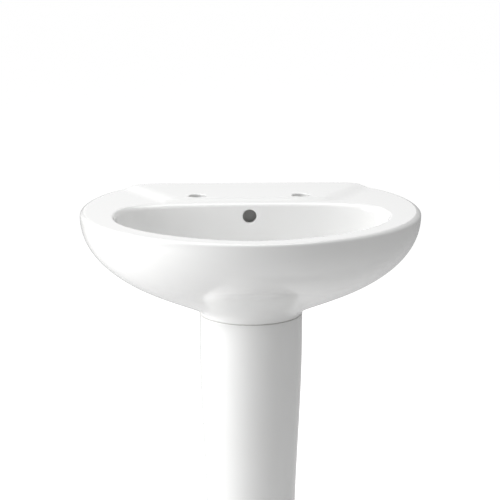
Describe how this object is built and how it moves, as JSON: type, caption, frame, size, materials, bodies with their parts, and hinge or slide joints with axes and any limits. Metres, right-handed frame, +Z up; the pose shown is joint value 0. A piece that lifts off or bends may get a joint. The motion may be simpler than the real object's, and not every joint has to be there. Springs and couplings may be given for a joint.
{
  "type": "pedestal sink",
  "caption": "White china wash basin with tap holes and an overflow, on a hollow china pedestal that hides a bottle trap and a press plug waste.",
  "frame": {"origin": "on the floor, on the plane of symmetry, midway between the wall and the basin's front edge", "axes": "+Z up, +Y towards the wall, the front of the basin faces -Y"},
  "size_m": [0.56, 0.46, 0.856],
  "materials": {
    "white_china": "glossy glaze",
    "chrome": "polished",
    "zinc_steel": "zinc plated",
    "brass": "machined",
    "white_plastic": "moulded, satin",
    "nylon": "moulded",
    "black_rubber": "matte",
    "grey_foam": "matte"
  },
  "bodies": {
    "sink": {"basin": "white_china", "pedestal": "white_china", "pedestal_seal": "grey_foam", "wall_bush_left": "nylon", "wall_bush_right": "nylon", "wall_washer_left": "zinc_steel", "wall_washer_right": "zinc_steel", "wall_nut_left": "zinc_steel", "wall_nut_right": "zinc_steel", "wall_stud_left": "zinc_steel", "wall_stud_right": "zinc_steel", "floor_screw_seat_left": "white_plastic", "floor_screw_seat_right": "white_plastic", "floor_screw_left": "zinc_steel", "floor_screw_right": "zinc_steel", "floor_screw_cap_left": "white_plastic", "floor_screw_cap_right": "white_plastic", "waste_top_seal": "black_rubber", "waste_body": "chrome", "waste_bottom_seal": "black_rubber", "waste_slip_washer": "white_plastic", "waste_backnut": "brass", "plug_cartridge": "white_plastic", "cartridge_collar": "white_plastic", "plug_spring": "zinc_steel", "trap_inlet_washer": "black_rubber", "trap_inlet_nut": "white_plastic", "trap_head": "white_plastic", "trap_outlet_seal": "black_rubber", "trap_outlet_nut": "white_plastic", "waste_pipe": "white_plastic", "wall_collar": "white_plastic"},
    "plug": {"plug_cap": "chrome", "plug_seal": "black_rubber", "plug_plunger": "zinc_steel"},
    "trap_cup": {"trap_cup": "white_plastic", "trap_cup_seal": "black_rubber"}
  },
  "joints": [
    {"name": "plug_press", "type": "slide", "parent": "sink", "child": "plug", "axis": [0, 0, 1], "range_m": [-0.009, 0], "stiffness_N_per_m": 1500, "springref_m": 0.003, "deforming": ["plug_spring"]},
    {"name": "trap_cup_drop", "type": "slide", "parent": "sink", "child": "trap_cup", "axis": [0, 0, -1], "range_m": [0, 0.08]}
  ]
}
